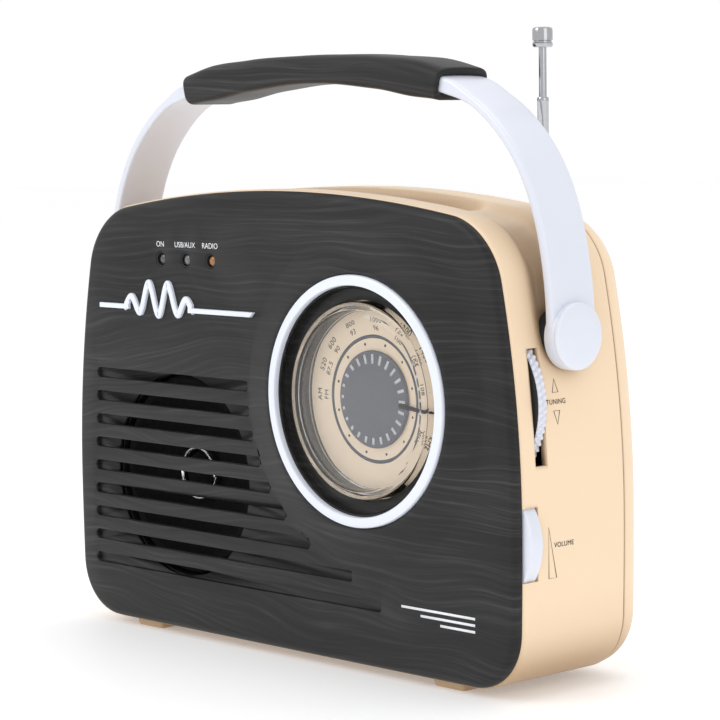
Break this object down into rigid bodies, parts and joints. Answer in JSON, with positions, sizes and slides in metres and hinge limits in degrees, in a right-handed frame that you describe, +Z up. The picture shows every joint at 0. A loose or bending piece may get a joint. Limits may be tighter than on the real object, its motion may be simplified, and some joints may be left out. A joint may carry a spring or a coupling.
{
  "type": "tabletop radio",
  "caption": "Retro portable radio: rounded case with wood-grain front, round dial, louvred speaker, folding handle, edge wheels and telescopic aerial.",
  "frame": {"origin": "on the surface the radio stands on, under the middle of the whole object, aerial as stored", "axes": "+X to the right seen from the front, +Y to the back, +Z up; the dial faces -Y"},
  "size_m": [0.2072, 0.06, 0.1909],
  "materials": {
    "case_cream": "satin moulded plastic",
    "front_wood_black": "black wood-grain film, satin",
    "trim_white": "pearl white",
    "dial_window": "clear plastic",
    "dial_print_cream": "printed dial card",
    "dial_grey": "grey with white divisions",
    "lamp_grey": "unlit smoked lamp",
    "lamp_light": "unlit clear lamp",
    "lamp_amber": "amber lamp",
    "silver_plastic": "pearl silver",
    "aerial_chrome": "polished",
    "steel": "zinc plated",
    "spindle_brass": "turned",
    "black_plastic": "black",
    "circuit_board": "green solder mask",
    "cone_paper": "pressed black paper",
    "ferrite": "sintered",
    "capacitor_white": "translucent white",
    "cell_sleeve": "plain grey sleeve"
  },
  "bodies": {
    "case": {"case_shell": "case_cream", "front_panel": "front_wood_black", "back_cover": "case_cream", "dial_ring": "trim_white", "dial_lens": "dial_window", "dial_plate": "dial_print_cream", "lamp_1": "lamp_grey", "lamp_2": "lamp_light", "lamp_3": "lamp_amber", "lamp_board": "circuit_board", "badge_bar": "trim_white", "pivot_pin_left": "steel", "pivot_pin_right": "steel", "drive_cord": "black_plastic", "dial_chassis": "steel", "tuning_capacitor": "capacitor_white", "volume_pot": "steel", "speaker_frame": "steel", "aerial_sleeve": "black_plastic", "switch_board": "circuit_board", "battery_box": "black_plastic", "battery_cell_1": "cell_sleeve", "battery_cell_2": "cell_sleeve", "battery_cell_3": "cell_sleeve", "battery_cell_4": "cell_sleeve", "contact_plate_left": "steel", "contact_plate_right": "steel", "dc_socket": "black_plastic", "aux_socket": "black_plastic", "usb_socket": "black_plastic", "card_slot": "black_plastic", "back_screw_1": "steel", "back_screw_2": "steel", "back_screw_3": "steel", "back_screw_4": "steel", "main_board": "circuit_board", "ferrite_rod": "ferrite", "rod_coil": "spindle_brass"},
    "handle": {"handle_strap": "silver_plastic", "handle_grip": "front_wood_black", "pivot_cap_left": "silver_plastic", "pivot_cap_right": "silver_plastic"},
    "tuning": {"tuning_wheel": "silver_plastic", "tuning_spindle": "spindle_brass"},
    "pointer": {"pointer_disc": "dial_grey", "dial_drum": "dial_print_cream"},
    "volume": {"volume_wheel": "silver_plastic"},
    "cone": {"speaker_cone": "cone_paper"},
    "aerial_a": {"aerial_section_1": "aerial_chrome"},
    "aerial_b": {"aerial_section_2": "aerial_chrome"},
    "aerial_c": {"aerial_section_3": "aerial_chrome"},
    "aerial_d": {"aerial_rod": "aerial_chrome"},
    "button_1": {"top_button_1": "silver_plastic"},
    "button_2": {"top_button_2": "silver_plastic"},
    "button_3": {"top_button_3": "silver_plastic"},
    "button_4": {"top_button_4": "silver_plastic"},
    "slider": {"band_slider": "silver_plastic"},
    "door": {"battery_door": "case_cream"}
  },
  "joints": [
    {"name": "handle_swing", "type": "hinge", "parent": "case", "child": "handle", "pos_m": [0, -0.002, 0.103], "axis": [1, 0, 0], "range_deg": [-3, 65]},
    {"name": "tuning_turn", "type": "hinge", "parent": "case", "child": "tuning", "pos_m": [0.07491, -0.015, 0.0836], "axis": [0, 1, 0], "range_deg": [-657, 28]},
    {"name": "pointer_turn", "type": "hinge", "parent": "case", "child": "pointer", "pos_m": [0.0381, -0.0198, 0.0822], "axis": [0, 1, 0], "range_deg": [-186, 9]},
    {"name": "volume_turn", "type": "hinge", "parent": "case", "child": "volume", "pos_m": [0.08399, -0.02, 0.0452], "axis": [0, 1, 0], "range_deg": [-150, 150]},
    {"name": "cone_travel", "type": "slide", "parent": "case", "child": "cone", "axis": [0, -1, 0], "range_m": [-0.0006, 0.0006], "stiffness_N_per_m": 1200},
    {"name": "aerial_a_slide", "type": "slide", "parent": "case", "child": "aerial_a", "axis": [0, 0, 1], "range_m": [0, 0.11]},
    {"name": "aerial_b_slide", "type": "slide", "parent": "aerial_a", "child": "aerial_b", "axis": [0, 0, 1], "range_m": [0, 0.11]},
    {"name": "aerial_c_slide", "type": "slide", "parent": "aerial_b", "child": "aerial_c", "axis": [0, 0, 1], "range_m": [-0.0324, 0.079]},
    {"name": "aerial_d_slide", "type": "slide", "parent": "aerial_c", "child": "aerial_d", "axis": [0, 0, 1], "range_m": [-0.0142, 0.095]},
    {"name": "button_1_press", "type": "slide", "parent": "case", "child": "button_1", "axis": [0, 0, -1], "range_m": [0, 0.0012], "stiffness_N_per_m": 400, "springref_m": -0.001},
    {"name": "button_2_press", "type": "slide", "parent": "case", "child": "button_2", "axis": [0, 0, -1], "range_m": [0, 0.0012], "stiffness_N_per_m": 400, "springref_m": -0.001},
    {"name": "button_3_press", "type": "slide", "parent": "case", "child": "button_3", "axis": [0, 0, -1], "range_m": [0, 0.0012], "stiffness_N_per_m": 400, "springref_m": -0.001},
    {"name": "button_4_press", "type": "slide", "parent": "case", "child": "button_4", "axis": [0, 0, -1], "range_m": [0, 0.0012], "stiffness_N_per_m": 400, "springref_m": -0.001},
    {"name": "band_slide", "type": "slide", "parent": "case", "child": "slider", "axis": [1, 0, 0], "range_m": [0, 0.006]},
    {"name": "battery_door_hinge", "type": "hinge", "parent": "case", "child": "door", "pos_m": [0, 0.0291, 0.0101], "axis": [-1, 0, 0], "range_deg": [0, 86]}
  ],
  "couplings": [
    {"joint": "pointer_turn", "follows": "tuning_turn", "ratio": 0.2816}
  ]
}
